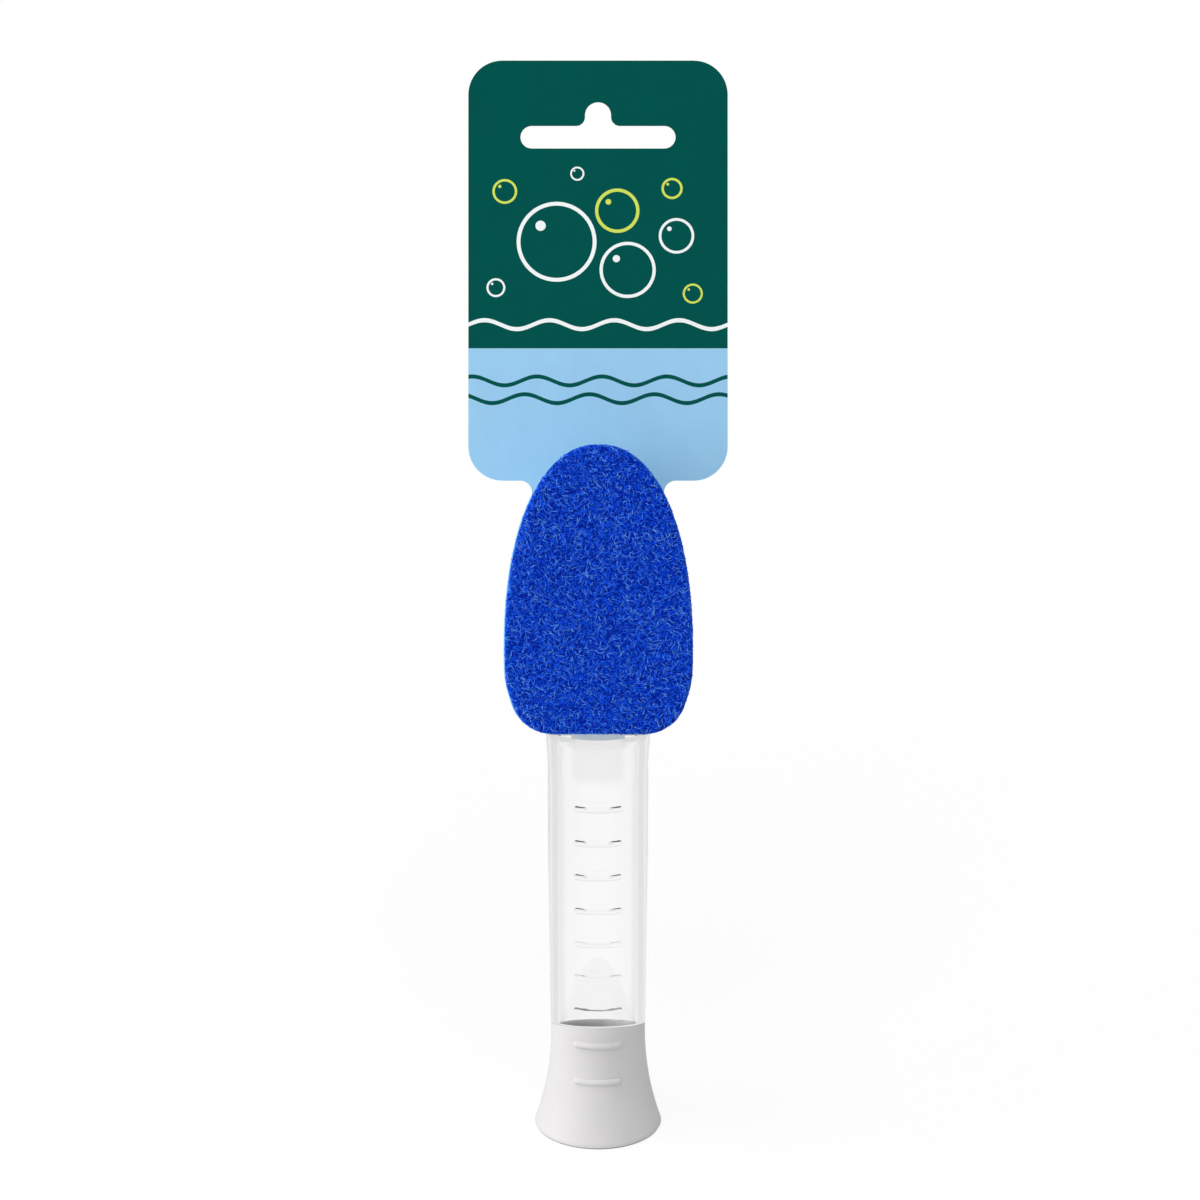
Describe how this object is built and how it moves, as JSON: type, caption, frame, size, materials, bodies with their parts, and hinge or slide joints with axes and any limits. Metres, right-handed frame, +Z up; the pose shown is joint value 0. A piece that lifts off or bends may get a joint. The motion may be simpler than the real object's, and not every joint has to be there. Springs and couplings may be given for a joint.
{
  "type": "dish wand",
  "caption": "Clear refillable handle on a flared pull-off cap, with a slide-on sponge and scouring pad head leaning back, held on a flat hang card.",
  "frame": {"origin": "centre of the flat base of the cap, on the handle's axis", "axes": "+Z up along the handle's axis, the pad's face forward towards -Y and tipped up, +X to the right seen from the front"},
  "size_m": [0.0876, 0.1132, 0.3629],
  "materials": {
    "clear_plastic": "clear, polished",
    "light_plastic": "satin",
    "silicone": "soft",
    "carrier_plastic": "satin",
    "sponge_foam": "open-cell foam",
    "scouring_web": "non-woven fibre web",
    "cap_plastic": "satin",
    "gasket_rubber": "soft",
    "printed_board": "printed, satin varnish"
  },
  "bodies": {
    "cap": {"cap_shell": "cap_plastic", "cap_gasket": "gasket_rubber", "base_disc": "cap_plastic"},
    "handle": {"handle": "clear_plastic", "head_shoe": "light_plastic", "soap_valve": "silicone", "valve_ring": "light_plastic"},
    "refill": {"refill_carrier": "carrier_plastic", "sponge": "sponge_foam", "scour_pad": "scouring_web"},
    "card": {"hang_card": "printed_board"}
  },
  "joints": [
    {"name": "cap_pull", "type": "slide", "parent": "cap", "child": "handle", "axis": [0, 0, 1], "range_m": [0, 0.035]},
    {"name": "refill_slide", "type": "slide", "parent": "handle", "child": "refill", "axis": [0, 0.3827, 0.9239], "range_m": [0, 0.07]},
    {"name": "card_slide", "type": "slide", "parent": "handle", "child": "card", "axis": [0, 0.3827, 0.9239], "range_m": [0, 0.05]}
  ]
}
